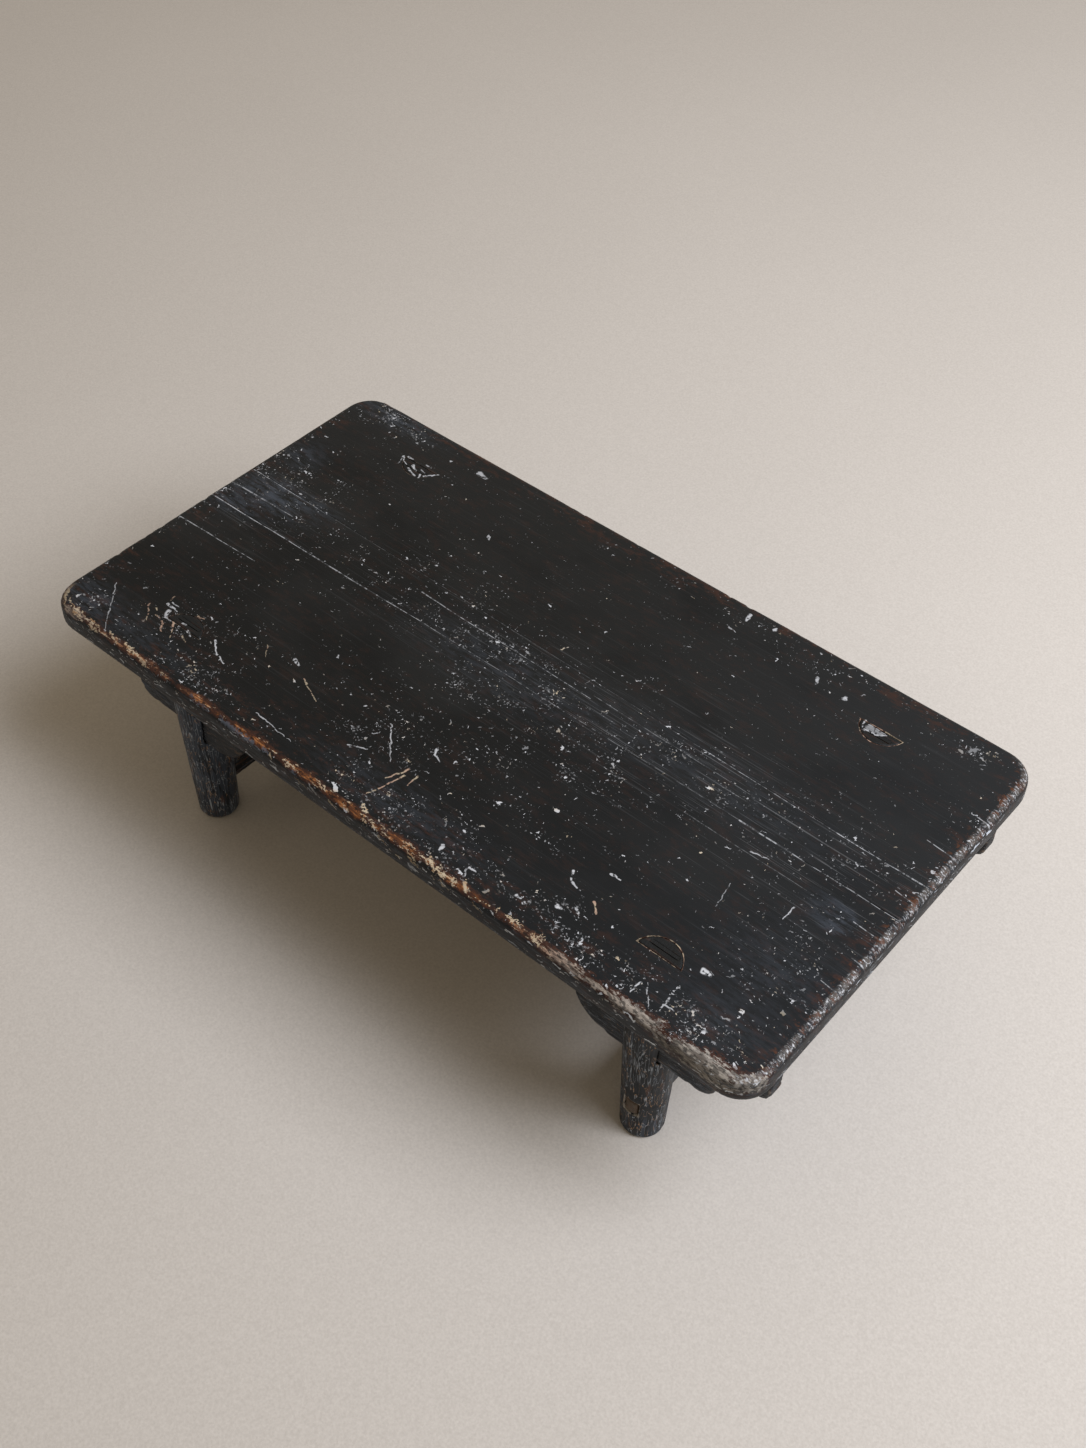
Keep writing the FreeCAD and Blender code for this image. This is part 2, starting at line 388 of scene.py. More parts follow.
def wear_board(mesh, front, back):
    """Rubs and chips the edges, lets the flat sag a little and opens the seams near the ends."""
    places = points_of(mesh)
    normals = normals_of(mesh)
    over = over_edge(places)
    near_edge = np.clip(1 - np.abs(over - wear_middle) / wear_reach, 0, 1)
    rubbed = 0.5 + 0.5 * field(places, 70 * MM)
    bare = smooth(edge_rub(places)[0], 0.35, 0.75)
    nicks = smooth(field(places, 7 * MM, 3.1), 0.2, 0.6) * smooth(field(places, 42 * MM, 7.7), -0.1, 0.4)
    depth = near_edge * (rub_depth * rubbed + bare_depth * bare + nick_depth * nicks)
    flat = (places[:, 2] > top_z - 0.5 * MM) & (over < 0)
    sag = least_sag + more_sag * (0.5 + 0.5 * field(places, 130 * MM, 5.3))
    share = (places[:, 0] / half_length + 1) / 2
    worn = places - normals * depth[:, None]
    worn[flat, 2] -= sag[flat]
    for line in (front, back):
        if abs(line[0]) < half_width:
            gap = np.abs(places[:, 1] - (line[0] + (line[1] - line[0]) * share))
            open_share = 0.35 + 0.65 * smooth(np.abs(places[:, 0]), 0.15, 0.35)
            groove = (gap < 0.1 * MM) & (places[:, 2] > top_z - 8 * MM) & (normals[:, 2] > 0.3)
            worn[groove, 2] -= seam_depth * open_share[groove]
    set_points(mesh, worn)


def spread(places, spots):
    """Sum of soft spots on the top."""
    total = np.zeros(len(places))
    for x, y, reach_x, reach_y, strength in spots:
        away = ((places[:, 0] / MM - x) / reach_x) ** 2 + ((places[:, 1] / MM - y) / reach_y) ** 2
        total += strength * np.exp(-away)
    return total


def mark_board(mesh):
    """Values that the lacquer reads: place over the edge, bare wood, specks, brushed lines, and haze with
    some painted sheen.
    """
    places = points_of(mesh)
    bare, grey, cream = edge_rub(places)
    patches = 0.8 + 0.9 * field(places, 30 * MM, 4.7)
    away = np.abs(places[:, :2] / MM - blot_middle) / blot_reach
    blot = smooth((away ** 4).sum(axis=1), 1.2, 0.7) * smooth(places[:, 0] / MM, 312, 366)
    set_attribute(mesh, "edge", over_edge(places))
    set_attribute(mesh, "bare", bare)
    set_attribute(mesh, "grey", grey)
    set_attribute(mesh, "cream", cream)
    set_attribute(mesh, "busy", spread(places, busy_spots) * patches + 0.03)
    set_attribute(mesh, "lined", spread(places, line_spots) + 0.1)
    set_attribute(mesh, "haze_and_sheen", spread(places, haze_and_sheen_spots) + 0.8 * blot)


def mortise_cutters():
    """Upright rounded cutters where the four leg tenons pass through the top."""
    points, faces = [], []
    radius = tenon_radius + mortise_gap
    start_turn = math.asin((tenon_middle - tenon_flat - mortise_gap) / radius)
    turns = np.linspace(start_turn, math.pi - start_turn, arc_points)
    for side_x, side_y in ((-1, -1), (-1, 1), (1, -1), (1, 1)):
        start = len(points)
        ring = [(side_x * leg_x + radius * math.cos(turn),
                 side_y * (tenon_middle - radius * math.sin(turn))) for turn in turns]
        if side_y > 0:
            ring.reverse()
        points += [(x, y, under_z - cutter_over) for x, y in ring]
        points += [(x, y, top_z + cutter_over) for x, y in ring]
        lower = [start + k for k in range(arc_points)]
        upper = [start + arc_points + k for k in range(arc_points)]
        faces += [lower[::-1], upper]
        for k in range(arc_points):
            after = (k + 1) % arc_points
            faces.append([lower[k], lower[after], upper[after], upper[k]])
    mesh = bpy.data.meshes.new("mortises")
    mesh.from_pydata(points, [], faces)
    return mesh


def board(name, node, front, back, material):
    """One board of the top with worn edges and the mortises for the legs."""
    mesh = board_mesh(name, front, back)
    wear_board(mesh, front, back)
    worker = linked("worker", mesh)
    cutter = linked("cutter", mortise_cutters())
    cut = worker.modifiers.new("Mortises", "BOOLEAN")
    cut.operation = "DIFFERENCE"
    cut.solver = "EXACT"
    cut.object = cutter
    mesh = evaluated_mesh(worker)
    bpy.data.objects.remove(cutter)
    mark_board(mesh)
    finished(name, node, mesh, material, sharp_angle=45)


def finished(name, node, mesh, material, sharp_angle=None):
    """Turns a mesh into a piece that stands for a CAD node."""
    mesh.shade_smooth()
    if sharp_angle:
        mesh.set_sharp_from_angle(angle=math.radians(sharp_angle))
    mesh.materials.clear()
    mesh.materials.append(material)
    piece = linked(name, mesh)
    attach(piece, "root")
    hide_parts(node)


# The frame below the top


def weathered(name, node, voxel, grain, material, crisp_above=None):
    """A frame piece with softened arrises, and ridges and cracks along its grain."""
    mesh = dense_copy(node, voxel)
    places = points_of(mesh)
    follow = np.full(len(places), 0.5)
    if crisp_above:
        follow[places[:, 2] > crisp_above] = 0.0
    soften(mesh, rounds=4, share=follow)
    arris = arris_share(mesh, voxel)
    places, normals = points_of(mesh), normals_of(mesh)
    along = np.where(np.arange(3) == "xyz".index(grain), grain_share, 1.0)
    ridges = field(places * along, 7 * MM, 1.7)
    lumps = field(places * along, 22 * MM, 4.9)
    cracks = smooth(np.abs(field(places * along, 11 * MM, 6.6)), 0.09, 0.02)
    cracks *= smooth(field(places * along, 30 * MM, 2.9), -0.1, 0.3)
    chips = smooth(field(places, 9 * MM, 8.3), 0.1, 0.6)
    depth = ridge_depth * (1 + ridges) / 2 + lump_depth * (1 + lumps) / 2
    depth += crack_depth * cracks + chip_depth * arris * chips
    if crisp_above:
        depth[places[:, 2] > crisp_above] = 0.0
    set_points(mesh, places - normals * depth[:, None])
    set_attribute(mesh, "arris", arris)
    set_attribute(mesh, "crack", cracks)
    finished(name, node, mesh, material)


# Materials


class Nodes:
    """Adds nodes to one tree. A value is a plain number, a tuple or the output of another node."""

    def __init__(self, tree):
        self.tree = tree

    def node(self, kind, values=None, **settings):
        made = self.tree.nodes.new(kind)
        for key, setting in settings.items():
            setattr(made, key, setting)
        for socket, value in (values or {}).items():
            self.feed(made.inputs[socket], value)
        return made

    def feed(self, socket, value):
        if isinstance(value, bpy.types.NodeSocket):
            self.tree.links.new(value, socket)
        elif socket.type == "RGBA":
            socket.default_value = (*value, 1.0)
        else:
            socket.default_value = value

    def math(self, operation, first, second=0.0):
        return self.node("ShaderNodeMath", {0: first, 1: second}, operation=operation).outputs[0]

    def plus(self, first, second):
        return self.math("ADD", first, second)

    def minus(self, first, second):
        return self.math("SUBTRACT", first, second)

    def times(self, first, second):
        return self.math("MULTIPLY", first, second)

    def all_of(self, first, *others):
        for other in others:
            first = self.times(first, other)
        return first

    def any_of(self, first, *others):
        for other in others:
            first = self.math("MAXIMUM", first, other)
        return first

    def show_wall(self, output, lit, glow, share=1.0):
        """Feeds an output with a lit shader. Background rays see the wall colour there, up to a share."""
        path = self.node("ShaderNodeLightPath").outputs
        seen = self.times(self.any_of(*[path[ray] for ray in background_rays]), share)
        wall = self.node(glow, {"Color": wall_colour, "Strength": 1.0}).outputs[0]
        both = self.node("ShaderNodeMixShader", {0: seen, 1: lit, 2: wall}).outputs[0]
        self.feed(self.tree.nodes[output].inputs["Surface"], both)


class Paint(Nodes):
    """One material, with the colour painted so far."""

    def __init__(self, name):
        self.material = bpy.data.materials.new(name)
        self.material.use_nodes = True
        super().__init__(self.material.node_tree)
        self.surface = self.tree.nodes["Principled BSDF"]
        self.colour = None
        source = self.node("ShaderNodeTexCoord")
        self.place = source.outputs["Object"]
        self.x, self.y, self.z = self.parts(self.place)
        self.facing_up = self.parts(source.outputs["Normal"])[2]

    def parts(self, vector):
        return self.node("ShaderNodeSeparateXYZ", {0: vector}).outputs[:3]

    def vector(self, operation, first, second):
        made = self.node("ShaderNodeVectorMath", {0: first, 1: second}, operation=operation)
        return made.outputs["Value" if operation in ("DOT_PRODUCT", "DISTANCE") else "Vector"]

    def scaled(self, vector, share):
        made = self.node("ShaderNodeVectorMath", {0: vector, "Scale": share}, operation="SCALE")
        return made.outputs["Vector"]

    def span(self, value, start, end, low=0.0, high=1.0):
        """Soft step: low before start, high after end."""
        values = {"Value": value, "From Min": start, "From Max": end, "To Min": low, "To Max": high}
        made = self.node("ShaderNodeMapRange", values, interpolation_type="SMOOTHSTEP", clamp=False)
        return made.outputs["Result"]

    def mix(self, share, first, second):
        made = self.node("ShaderNodeMix", {0: share, 6: first, 7: second}, data_type="RGBA")
        return made.outputs[2]

    def cover(self, mask, tint, strength=None):
        """Lays a tint over the colour so far where the mask is, up to a strength if one is given."""
        share = mask if strength is None else self.times(mask, strength)
        self.colour = self.mix(share, self.colour, tint)

    def noise(self, size, detail, seed, roughness=0.55):
        """Noise around 0.5 with lumps of about the given size in millimetres, one for all axes or three."""
        sides = size if isinstance(size, tuple) else (size, size, size)
        scaled = self.vector("MULTIPLY", self.place, tuple(1 / (side * MM) for side in sides))
        moved = self.vector("ADD", scaled, (seed, 1.7 * seed, 0.6 * seed))
        values = {"Vector": moved, "Scale": 1.0, "Detail": detail, "Roughness": roughness}
        return self.node("ShaderNodeTexNoise", values).outputs[0]

    def joined(self, x, y):
        return self.node("ShaderNodeCombineXYZ", {0: x, 1: y}).outputs[0]

    def warped(self, size, reach, seed):
        """Place pushed about, so that what is drawn with it isn't ruler straight."""
        push = []
        for shift in (0.0, 31.4):
            away = self.minus(self.noise(size, 2, seed + shift), 0.5)
            push.append(self.times(away, reach * MM))
        return self.vector("ADD", self.place, self.joined(*push))

    def folded_out(self, place):
        """Place on the top seen as a flat sheet, with the walls folded out beside it."""
        return self.vector("ADD", place, self.joined(self.times(self.z, 0.6), self.z))

    def attribute(self, name):
        return self.node("ShaderNodeAttribute", attribute_name=name).outputs["Fac"]

    def peaks(self, size, more, start, end, seed, detail=2.0):
        """Irregular specks where a noise is high. A greater value of more gives more and larger specks."""
        return self.span(self.plus(self.noise(size, detail, seed, 0.6), more), start, end)

    def flakes(self, place, size, density, smallest, spread, slim, seed, turn=6.3):
        """Scattered flakes on a flat sheet, at most one to a cell of the given size. Each has its own
        length, from smallest to smallest + spread of half a cell, and its own shape, turn and strength."""
        shares = (1 / (size[0] * MM), 1 / (size[1] * MM), 0.0)
        moved = self.vector("ADD", self.vector("MULTIPLY", place, shares), (seed, 1.7 * seed, 0.0))
        cells = self.node("ShaderNodeTexVoronoi", {"Vector": moved, "Scale": 1.0}, voronoi_dimensions="2D")
        draw = self.node("ShaderNodeSeparateColor", {0: cells.outputs["Color"]}).outputs
        shown = self.math("LESS_THAN", draw[0], density)
        shown = self.times(shown, self.span(draw[2], 0.0, 1.0, 0.25, 1.0))
        drawn_turn = self.minus(self.math("FRACT", self.times(draw[1], 9.7)), 0.5)
        values = {"Vector": self.vector("SUBTRACT", moved, cells.outputs["Position"]),
                  "Angle": self.times(drawn_turn, turn)}
        turned = self.node("ShaderNodeVectorRotate", values, rotation_type="Z_AXIS").outputs[0]
        along, across, _ = self.parts(self.vector("ABSOLUTE", turned, (0, 0, 0)))
        thin = self.span(self.math("FRACT", self.times(draw[2], 7.3)), 0.0, 1.0, *slim)
        gap = self.math("MAXIMUM", along, self.times(across, thin))
        reach = self.times(self.math("POWER", draw[1], 3.0), 0.5 * spread)
        rim = self.span(self.minus(gap, reach), 0.5 * smallest + 0.03, 0.5 * smallest - 0.03)
        return self.times(shown, rim)

    def threads(self, size, seed, width):
        """Thin lines along the longest side of the given size."""
        away = self.math("ABSOLUTE", self.minus(self.noise(size, 2, seed), 0.5))
        return self.span(away, width, 0.4 * width)

    def strokes(self, place, marks):
        """Strength of a list of tapering strokes. A stroke is x, y, x, y, width, strength."""
        covered = 0.0
        flat = self.vector("MULTIPLY", place, (1, 1, 0))
        for x0, y0, x1, y1, width, strength in marks:
            run = Vector((x1 - x0, y1 - y0, 0)) * MM
            away = self.vector("SUBTRACT", flat, (x0 * MM, y0 * MM, 0))
            share = tuple(run / max(run.length_squared, 1e-9))
            along = self.math("MINIMUM", self.vector("DOT_PRODUCT", away, share), 1.0)
            along = self.math("MAXIMUM", along, 0.0)
            gap = self.vector("DISTANCE", away, self.scaled(tuple(run), along))
            gap = self.plus(gap, self.times(along, 0.22 * width * MM))
            mark = self.span(gap, 0.6 * width * MM, 0.3 * width * MM, 0.0, strength)
            covered = mark if covered == 0.0 else self.math("MAXIMUM", covered, mark)
        return covered

    def finish(self, roughness, height, bump_depth, gloss=0.5, sheen=(1.0, 1.0, 1.0)):
        self.surface.inputs["Specular IOR Level"].default_value = gloss
        self.surface.inputs["Specular Tint"].default_value = (*sheen, 1.0)
        bump = self.node("ShaderNodeBump", {"Height": height, "Distance": bump_depth, "Strength": 1.0})
        self.feed(self.surface.inputs["Base Color"], self.colour)
        self.feed(self.surface.inputs["Roughness"], roughness)
        self.feed(self.surface.inputs["Normal"], bump.outputs["Normal"])
        return self.material


# Colours
deep_black = srgb(17, 17, 16)
soft_black = srgb(28, 28, 27)
night_black = srgb(12, 14, 17)
worn_black = srgb(30, 34, 40)
blue_grey = srgb(98, 106, 118)
slate = srgb(90, 102, 120)
wall_grey = srgb(208, 216, 226)
thread_grey = srgb(160, 168, 178)
red_brown = srgb(76, 46, 33)
dark_orange = srgb(92, 56, 34)
bare_orange = srgb(176, 112, 60)
cream = srgb(210, 194, 166)
shell_pink = srgb(206, 172, 150)
cream_shade = srgb(176, 138, 100)
tan_dark = srgb(110, 103, 96)
tan_grey = srgb(180, 173, 163)
pale_grey = srgb(182, 174, 162)
dust_white = srgb(208, 210, 213)
dark_wood = srgb(62, 44, 32)
deep_wood = srgb(34, 26, 20)
pale_wood = srgb(126, 92, 62)
end_brown = srgb(104, 84, 62)
wall_colour = srgb(180, 171, 159)
paper_shade = srgb(195, 188, 179)
paper_light = srgb(231, 224, 215)
cool_sheen = (0.86, 0.93, 1.0)

# Marks on the top: x, y, x, y, width, strength
open_lines = [
    (-398, -12, -250, -10, 1.6, 0.8), (-250, -10, -100, -8, 1.2, 0.6), (-100, -8, 240, -6.5, 0.9, 0.25),
    (240, -6.5, 400, -6.5, 1.4, 0.7), (-396, 42.5, -290, 41.5, 1.5, 0.65), (-290, 41.5, 170, 37, 0.8, 0.15),
    (170, 37, 300, 36, 1, 0.5), (300, 36, 400, 35.5, 1.5, 0.75), (-396, 15, -312, 17, 1.6, 0.5),
    (-396, -55, -292, -52, 1.2, 0.55), (-145, 21, 60, 19, 1.1, 0.5), (60, 24, 230, 22, 0.9, 0.25),
    (200, -30, 330, -30, 0.9, 0.18), (400, 125, 384, 127, 1.4, 0.6), (400, 75, 368, 78, 1.4, 0.6),
    (400, 14, 376, 17, 1.4, 0.6), (400, -33, 368, -31, 1.4, 0.6), (400, -62, 386, -61, 1.6, 0.6),
    (400, -96, 380, -94, 1.2, 0.5),
]
pale_marks = [
    (-222, 187, -212, 185, 6, 0.7), (103, 199, 104, 191, 4, 0.8), (118, 193, 119, 194, 3, 0.8),
    (131, 198, 131, 200, 4, 0.8), (195, 173, 199, 167, 4.5, 0.7), (228, 168, 228, 169, 6, 0.8),
    (94, 174, 106, 172, 1.8, 0.6), (-50, -118, -36, -132, 1.8, 0.8), (-36, -132, -20, -150, 1.4, 0.6),
    (0, -113, 3, -119, 2.6, 0.9), (3, -119, 11, -122, 2, 0.7), (22, -114, 22, -115, 3.4, 1),
    (171, -137, 175, -146, 3, 1), (175, -146, 188, -149, 2, 0.8), (184, -172.5, 188, -172.5, 5, 1),
    (196, -164, 200, -167, 2.6, 0.8), (308, -146, 313, -146, 6, 1), (75, -187, 76, -192, 4, 0.95),
    (106, -189.5, 113, -189.5, 2.6, 0.9), (105, -192, 110, -199, 2.2, 0.8),
    (153, -185.5, 157, -185.5, 3, 0.9), (162, -188, 163, -188, 4, 0.9), (278, -185, 277.5, -197, 2, 0.9),
    (285, -187, 297, -200, 1.6, 0.6), (303, -183, 304, -196, 2, 0.7), (303, -190, 313, -190, 2, 0.7),
    (-365, -158, -325, -205, 1.1, 0.55), (273, -64, 278, -90, 1, 0.5), (325, -50, 325, -66, 1.6, 0.8),
    (-168, -118, -160, -121, 3.4, 0.9), (-240, -148, -226, -160, 2.4, 0.9), (-226, -160, -212, -163, 2, 0.8),
    (-60, -160, -44, -152, 1.8, 0.7), (-146, -186, -100, -189, 1.1, 0.7), (196, -120, 206, -120, 2.6, 0.9),
    (266, -27, 282, -24, 1.8, 0.7),
]
cream_marks = [
    (-145, -130, -117, -142, 1.4, 0.7), (-2, -146, -10, -166, 2.2, 0.9), (0, -153, -5, -174, 2.3, 0.9),
    (-5, -174, -10, -188, 2, 0.9), (9, -147, 9, -160, 2, 0.8), (203, -150, 212, -159, 2.6, 0.9),
    (-311, -134, -310, -140, 2, 0.6), (-305, -162, -298, -162, 1.8, 0.7), (-312, -155, -309, -157, 2.4, 0.8),
    (-294, -164, -285, -173, 2, 0.85), (-286, -157, -273, -173, 1.8, 0.85),
    (-274, -138, -268, -137, 2.2, 0.6), (-268, -142, -262, -150, 2, 0.85),
    (-262, -150, -261, -156, 2.6, 0.9), (-266, -164, -258, -168, 1.8, 0.7),
    (-321, -156, -306, -172, 1.8, 0.6), (-200, -122, -190, -134, 1.1, 0.5),
]
# Marks on the front edge: x, place over the edge, x, place over the edge, width, strength
edge_creams = [
    (70, 1, 80, 0.5, 1.6, 0.9), (77, -1, 84, 4, 4.4, 1), (86, 3, 97, 4, 4.6, 1),
    (113, -2.5, 119, 4, 4, 0.95), (104, 3.5, 110, 2, 2.6, 0.8), (50, 3, 55, 4, 2.4, 0.8),
    (58, 6, 66, 7, 2.6, 0.8), (150, -2, 150, 2, 2.2, 0.9), (161, 1.5, 175, -1, 3.2, 1),
    (188, 3, 196, -3, 2.8, 0.9), (190, 4, 198, 5, 3.4, 0.8), (-48, 1.5, -40, 2.5, 3.2, 0.9),
    (-16, 5, -10, 6.5, 3, 0.8), (-2, -4.5, 5, -2.5, 3.4, 1), (6, 4.5, 10, 5.5, 3, 0.8),
    (13, 2.5, 20, 3.5, 2.6, 0.8), (-87, 3, -72, 3.4, 2.2, 0.7), (-104, 6, -100, 9, 2.4, 0.7),
    (-392, 1, -380, 3, 5, 0.7), (-380, -2, -352, -0.5, 2, 0.8), (-366, 3, -356, 4, 5, 0.75),
    (-346, 0.5, -330, 2, 2.2, 0.8), (-340, 6, -328, 7, 4, 0.6), (-318, -1, -304, 5, 2.4, 0.8),
    (-296, 0, -276, 2, 3.4, 0.9), (-274, 4, -262, 7, 3, 0.6), (-30, 11, -24, 13, 3, 0.8),
    (25, 10, 33, 12, 3.5, 0.9), (62, 11, 70, 12, 3, 0.9), (95, 12, 104, 13, 3, 0.8),
    (130, 10, 138, 12, 3, 0.8), (-70, 12, -60, 13, 2.5, 0.7),
]
edge_blocks = [
    (-205, 4, -180, 6, 3, 0.5), (-164, 6.5, -147, 6.5, 6.5, 0.8), (-142, 6.5, -124, 6.5, 6.5, 0.8),
    (-112, 5.5, -106, 5.5, 4, 0.8), (-78, 7, -72, 7, 4, 0.7),
]
tenon_marks = [
    (-297, 157, -286, 148, 1.8, 0.9), (-297, 156, -293, 145, 1.6, 0.6), (-292, 159, -286, 159, 2.8, 0.7),
    (-270, 161, -264, 161, 2, 0.6), (-279, 152, -272, 147, 3.6, 0.85), (-280, 145, -267, 141, 2.6, 0.75),
    (-264, 146, -262, 141, 2.4, 0.75), (-260, 146, -250, 158, 2.2, 0.75), (-268, 152, -263, 151, 2, 0.6),
    (-306, -141, -297, -142, 1.8, 0.7), (-308, -145, -294, -146, 2.2, 0.8),
    (-300, -151, -298, -156, 5, 0.85), (-297, -158, -288, -158, 2, 0.7), (-267, -157, -260, -160, 2.2, 0.85),
    (-278, -153, -274, -153, 2.2, 0.7), (256, 157, 258, 150, 2.4, 0.7), (261, 148, 272, 149, 2.6, 0.8),
    (272, 149, 280, 154, 2.4, 0.75), (262, 156, 278, 155, 1.8, 0.6), (264, 152, 275, 152.5, 8, 0.4),
]


def tenon_outline(paint):
    """Thin line round the end of each leg tenon, on all four corners at once."""
    place = paint.warped(9, 2.0, 2.2)
    x, y, _ = paint.parts(place)
    beside = paint.minus(paint.math("ABSOLUTE", x), leg_x)
    over = paint.math("ABSOLUTE", y)
    within = paint.minus(tenon_middle, over)
    reach = paint.math("SQRT", paint.plus(paint.times(beside, beside), paint.times(within, within)))
    outside = paint.any_of(paint.minus(reach, tenon_radius), paint.minus(over, tenon_flat))
    line = paint.span(paint.math("ABSOLUTE", outside), 1.2 * MM, 0.3 * MM)
    on_right = paint.span(paint.x, 0.0, 0.1, 0.15, 1.0)
    return paint.all_of(line, on_right)


def lacquer(paint, edge):
    """Black lacquer, a little bluer and lighter to the right as a painted sheen, brown where it is thin,
    brushed and hazy in places, the haze at the front right partly a painted sheen.
    """
    cloud = paint.noise((110, 80, 80), 4, 1.3)
    cloud = paint.plus(cloud, paint.times(paint.y, 0.8))
    paint.colour = paint.mix(paint.span(cloud, 0.35, 0.65), deep_black, soft_black)
    # Painted sheen: the lacquer is painted a little bluer and lighter towards the right, the lamp's side.
    paint.cover(paint.span(paint.x, -0.1, 0.45), blue_grey, 0.042)
    at_front = paint.span(paint.y, -0.13, -0.20, 0.0, 0.4)
    thin = paint.any_of(at_front, paint.span(edge, -0.03, 0.0, 0.0, 0.5), 0.12)
    brown = paint.span(paint.noise((22, 9, 9), 6, 4.4, 0.78), 0.50, 0.64)
    paint.cover(paint.all_of(brown, thin), red_brown)
    brushed = paint.span(paint.noise((150, 1.5, 1.5), 4, 2.6, 0.65), 0.53, 0.66)
    runs = paint.span(paint.noise((50, 9, 9), 2, 3.6), 0.42, 0.6)
    paint.cover(paint.all_of(brushed, runs, paint.attribute("lined")), dust_white, 0.14)
    # Bluish haze, at the front right partly a painted sheen.
    mist_and_sheen = paint.span(paint.noise((16, 4, 5), 5, 5.5, 0.75), 0.38, 0.64)
    paint.cover(paint.all_of(mist_and_sheen, paint.attribute("haze_and_sheen")), blue_grey, 0.36)


def specks(paint):
    """Dust, dots, chips and flakes of pale ground, most of them where the top is busy."""
    busy = paint.math("MINIMUM", paint.attribute("busy"), 1.3)
    patchy = paint.noise((17, 13, 17), 2, 6.2)
    more = paint.plus(paint.times(busy, 0.13), paint.times(paint.minus(patchy, 0.5), 0.3))
    dust = paint.peaks((2.6, 2.4, 2.6), more, 0.70, 0.80, 1.1)
    paint.cover(dust, dust_white, 0.25)
    crumbs = paint.peaks((3.8, 3.2, 3.8), more, 0.755, 0.785, 5.9, 3.0)
    crumbs = paint.all_of(crumbs, paint.span(paint.noise(7, 2, 9.4), 0.36, 0.62, 0.35, 1.0))
    crowd = paint.times(busy, paint.span(patchy, 0.40, 0.62, 0.3, 1.9))
    place = paint.folded_out(paint.warped(4, 7, 4.3))
    sharp = crumbs
    for size, share, smallest, spread, slim, seed in speck_sizes:
        density = paint.times(crowd, share)
        found = paint.flakes(place, size, density, smallest, spread, slim, seed)
        sharp = paint.any_of(sharp, found)
    tint = paint.mix(paint.span(paint.noise(24, 2, 7.7), 0.5, 0.7), dust_white, cream)
    paint.cover(sharp, tint)
    return sharp


def scratches(paint, edge):
    """Open lines along the boards and the marks that stand out."""
    crack_place = paint.warped((60, 12, 12), 3.0, 1.9)
    gaps = paint.span(paint.noise((7, 30, 30), 4, 2.9, 0.7), 0.42, 0.56, 0.1, 1.0)
    cracks = paint.all_of(paint.strokes(crack_place, open_lines), gaps, paint.span(edge, 14 * MM, 6 * MM))
    paint.cover(cracks, dust_white)
    ragged = paint.warped(7, 4.5, 3.8)
    broken = paint.span(paint.noise(3.2, 3, 8.8), 0.36, 0.52)
    marks = paint.any_of(paint.strokes(ragged, pale_marks), paint.strokes(ragged, tenon_marks))
    marks = paint.all_of(marks, broken)
    paint.cover(marks, dust_white)
    outline = tenon_outline(paint)
    paint.cover(outline, dark_orange, 0.45)
    outline = paint.all_of(outline, paint.span(paint.noise(9, 3, 4.1), 0.40, 0.52))
    warm = paint.all_of(paint.any_of(paint.strokes(ragged, cream_marks), outline), broken)
    pinkish = paint.mix(paint.span(paint.noise(12, 2, 2.5), 0.42, 0.58), cream, shell_pink)
    paint.cover(warm, pinkish, 0.85)
    return paint.any_of(cracks, marks, warm)


def bare_edge(paint, edge):
    """Lacquer rubbed through along the upper edge: reddish, then a pale ground, then the wood."""
    ragged = paint.times(paint.noise((5, 2.4, 2.4), 4, 6.6, 0.7), 1.1)
    bare = paint.plus(paint.attribute("bare"), ragged)
    grey = paint.attribute("grey")
    reddish = paint.span(bare, paint.span(grey, 0.0, 1.0, 0.70, 0.86), 0.98, 0.0, 0.65)
    paint.cover(reddish, red_brown)
    tone = paint.noise((12, 2.6, 2.6), 4, 7.1, 0.65)
    creamy = paint.plus(tone, paint.times(paint.attribute("cream"), 0.07))
    ground = paint.all_of(paint.span(bare, 0.98, 1.02), paint.span(creamy, 0.58, 0.63))
    paint.cover(ground, paint.mix(grey, cream, tan_grey), 0.85)
    worn = paint.span(bare, 1.06, 1.12)
    wood = paint.mix(paint.span(tone, 0.44, 0.66), dark_orange, bare_orange)
    wood = paint.mix(paint.times(paint.span(creamy, 0.66, 0.70), 0.8), wood, cream)
    greyed = paint.mix(paint.span(tone, 0.38, 0.60), tan_dark, tan_grey)
    wood = paint.mix(grey, wood, greyed)
    paint.cover(worn, wood, 0.92)
    pits = paint.all_of(worn, paint.span(paint.noise((6, 3.2, 3.2), 3, 3.9), 0.52, 0.58))
    paint.cover(paint.all_of(pits, paint.span(grey, 0.0, 1.0, 0.8, 0.65)), deep_black)
    at_front = paint.span(paint.y, -0.18, -0.20)
    push = paint.minus(paint.noise(3.4, 2, 2.7), 0.5)
    push = paint.times(push, 14 * MM)
    sheet = paint.joined(paint.plus(paint.x, push), paint.plus(edge, push))
    broken = paint.all_of(paint.span(paint.noise((5, 3, 3), 3, 1.6), 0.37, 0.43), at_front)
    blocks = paint.all_of(paint.strokes(sheet, edge_blocks), broken)
    paint.cover(blocks, blue_grey, 0.75)
    creams = paint.all_of(paint.strokes(sheet, edge_creams), broken)
    paint.cover(creams, paint.mix(paint.span(tone, 0.34, 0.52), cream_shade, cream), 0.9)
    return paint.any_of(worn, ground, creams)


